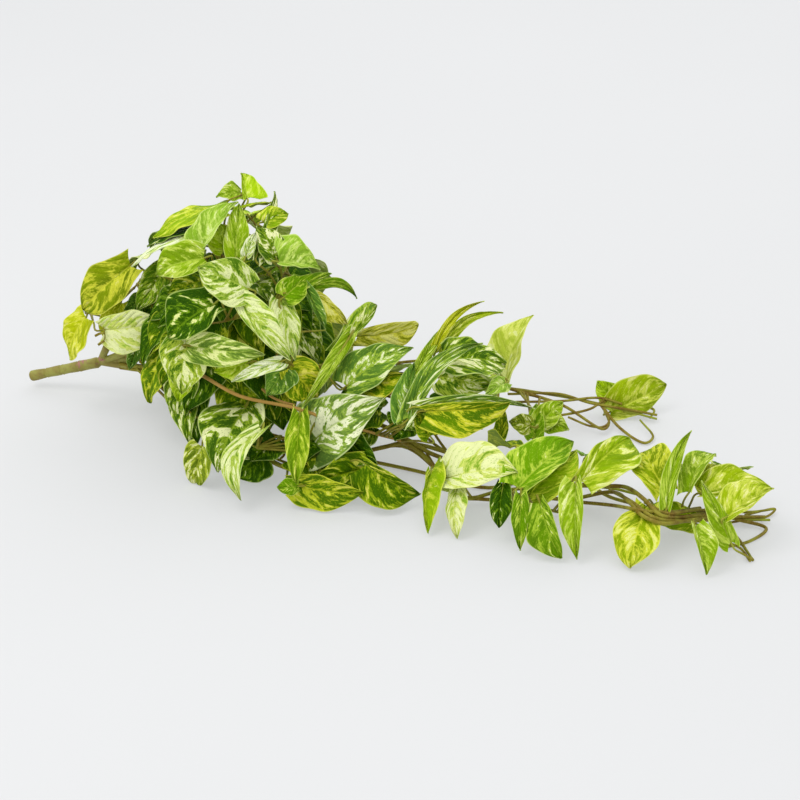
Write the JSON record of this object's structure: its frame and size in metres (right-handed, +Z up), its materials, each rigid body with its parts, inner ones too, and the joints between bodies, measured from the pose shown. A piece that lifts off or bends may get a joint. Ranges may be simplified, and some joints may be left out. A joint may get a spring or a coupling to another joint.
{
  "type": "artificial trailing pothos bush",
  "caption": "Trailing bunch of artificial variegated pothos vines on one ringed moulded stem, lying on its side.",
  "frame": {"origin": "under the middle of the bounding box, on the surface that the bush lies on", "axes": "+X along the bush from the moulded stem towards the tips of the trailing vines, +Z up off the surface"},
  "size_m": [0.9578, 0.5544, 0.3376],
  "materials": {
    "stem": "matt moulded, olive brown",
    "foliage": "satin, cream-variegated green"
  },
  "bodies": {
    "root": {"stem": "stem", "vine_left": "foliage", "vine_crown": "foliage", "vine_right": "foliage", "vine_middle": "foliage", "vine_front": "foliage", "vine_heart": "foliage", "vine_upper": "foliage", "vine_lower": "foliage", "vine_back_high": "foliage", "vine_back_low": "foliage", "vine_tip": "foliage"}
  },
  "joints": []
}
